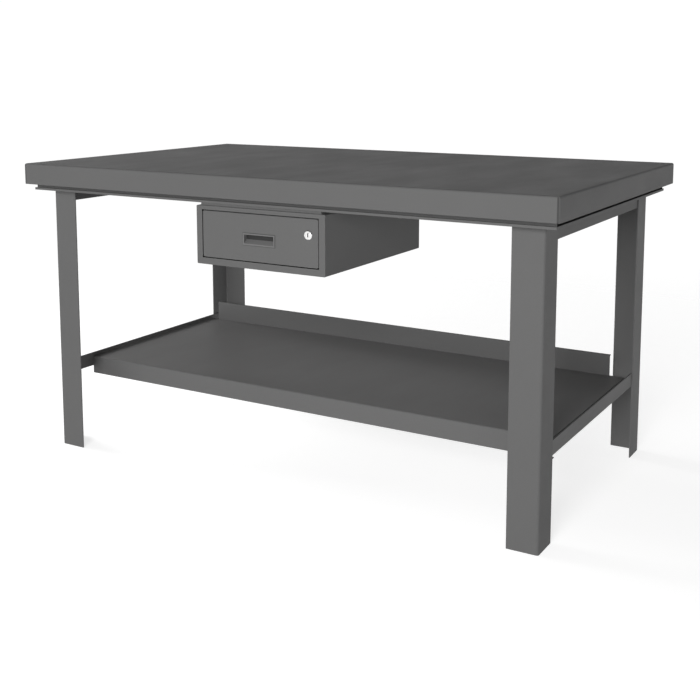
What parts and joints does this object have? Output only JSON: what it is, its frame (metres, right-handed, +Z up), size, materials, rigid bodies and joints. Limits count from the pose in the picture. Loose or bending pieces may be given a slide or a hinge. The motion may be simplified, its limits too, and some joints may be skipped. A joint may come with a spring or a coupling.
{
  "type": "workbench with drawer",
  "caption": "Steel workbench: folded sheet top on angle legs, lower shelf with backstop, lockable drawer on roller slides under the top.",
  "frame": {"origin": "on the floor below the middle of the bench top's outline", "axes": "+X along the bench's length to the right as seen from the drawer's side, +Y to the rear, +Z up"},
  "size_m": [1.524, 0.9144, 0.8],
  "materials": {
    "grey_paint": "satin powder coat, dark neutral grey",
    "zinc_steel": "bright zinc plate",
    "lock_chrome": "bright nickel-chrome lock face",
    "white_plastic": "natural acetal",
    "black_rubber": "matt moulded rubber"
  },
  "bodies": {
    "bench": {"bench_top": "grey_paint", "cabinet_slide_left": "zinc_steel", "cabinet_slide_right": "zinc_steel", "drawer_bumpers": "black_rubber", "drawer_cross_bar_left": "grey_paint", "drawer_cross_bar_right": "grey_paint", "frame_bar_front": "grey_paint", "frame_bar_left": "grey_paint", "frame_bar_rear": "grey_paint", "frame_bar_right": "grey_paint", "frame_bolts": "zinc_steel", "frame_nuts": "zinc_steel", "front_roller_pins": "zinc_steel", "housing_back": "grey_paint", "housing_bolts": "zinc_steel", "housing_face_frame": "grey_paint", "housing_header": "grey_paint", "housing_nuts": "zinc_steel", "housing_spacer_front": "grey_paint", "housing_spacer_left": "grey_paint", "housing_spacer_right": "grey_paint", "housing_wrapper": "grey_paint", "leg_front_left": "grey_paint", "leg_front_right": "grey_paint", "leg_rear_left": "grey_paint", "leg_rear_right": "grey_paint", "shelf": "grey_paint", "shelf_bolts": "zinc_steel", "shelf_nuts": "zinc_steel", "shelf_rail_left": "grey_paint", "shelf_rail_right": "grey_paint", "shelf_stiffener_front": "grey_paint", "shelf_stiffener_rear": "grey_paint", "slide_bracket_left": "grey_paint", "slide_bracket_right": "grey_paint", "top_channel_left": "grey_paint", "top_channel_left_end": "grey_paint", "top_channel_middle": "grey_paint", "top_channel_right": "grey_paint", "top_channel_right_end": "grey_paint", "top_closer_front": "grey_paint", "top_closer_rear": "grey_paint", "upper_rail_left": "grey_paint", "upper_rail_right": "grey_paint"},
    "drawer": {"drawer_box": "grey_paint", "drawer_front": "grey_paint", "drawer_front_liner": "grey_paint", "recessed_pull": "grey_paint", "drawer_runner_left": "zinc_steel", "drawer_runner_right": "zinc_steel", "rear_roller_pins": "zinc_steel", "lock_barrel": "lock_chrome", "lock_nut": "zinc_steel"},
    "lock_turning_part": {"lock_plug": "lock_chrome", "lock_cam": "zinc_steel", "cam_screw": "zinc_steel"},
    "front_wheel_left": {"front_roller_left": "white_plastic"},
    "front_wheel_right": {"front_roller_right": "white_plastic"},
    "rear_wheel_left": {"rear_roller_left": "white_plastic"},
    "rear_wheel_right": {"rear_roller_right": "white_plastic"}
  },
  "joints": [
    {"name": "drawer_slide", "type": "slide", "parent": "bench", "child": "drawer", "axis": [0, -1, 0], "range_m": [0, 0.34]},
    {"name": "key_turn", "type": "hinge", "parent": "drawer", "child": "lock_turning_part", "pos_m": [0.142, -0.42, 0.669], "axis": [0, 1, 0], "range_deg": [0, 90]},
    {"name": "front_roller_spin_left", "type": "hinge", "parent": "bench", "child": "front_wheel_left", "pos_m": [-0.1635, -0.4015, 0.6255], "axis": [1, 0, 0], "continuous": true},
    {"name": "front_roller_spin_right", "type": "hinge", "parent": "bench", "child": "front_wheel_right", "pos_m": [0.1635, -0.4015, 0.6255], "axis": [1, 0, 0], "continuous": true},
    {"name": "rear_roller_spin_left", "type": "hinge", "parent": "drawer", "child": "rear_wheel_left", "pos_m": [-0.163, 0.0195, 0.6233], "axis": [1, 0, 0], "continuous": true},
    {"name": "rear_roller_spin_right", "type": "hinge", "parent": "drawer", "child": "rear_wheel_right", "pos_m": [0.163, 0.0195, 0.6233], "axis": [1, 0, 0], "continuous": true}
  ],
  "couplings": [
    {"joint": "front_roller_spin_left", "follows": "drawer_slide", "rad_per_m": 105.26},
    {"joint": "front_roller_spin_right", "follows": "drawer_slide", "rad_per_m": 105.26},
    {"joint": "rear_roller_spin_left", "follows": "drawer_slide", "rad_per_m": 105.26},
    {"joint": "rear_roller_spin_right", "follows": "drawer_slide", "rad_per_m": 105.26}
  ]
}
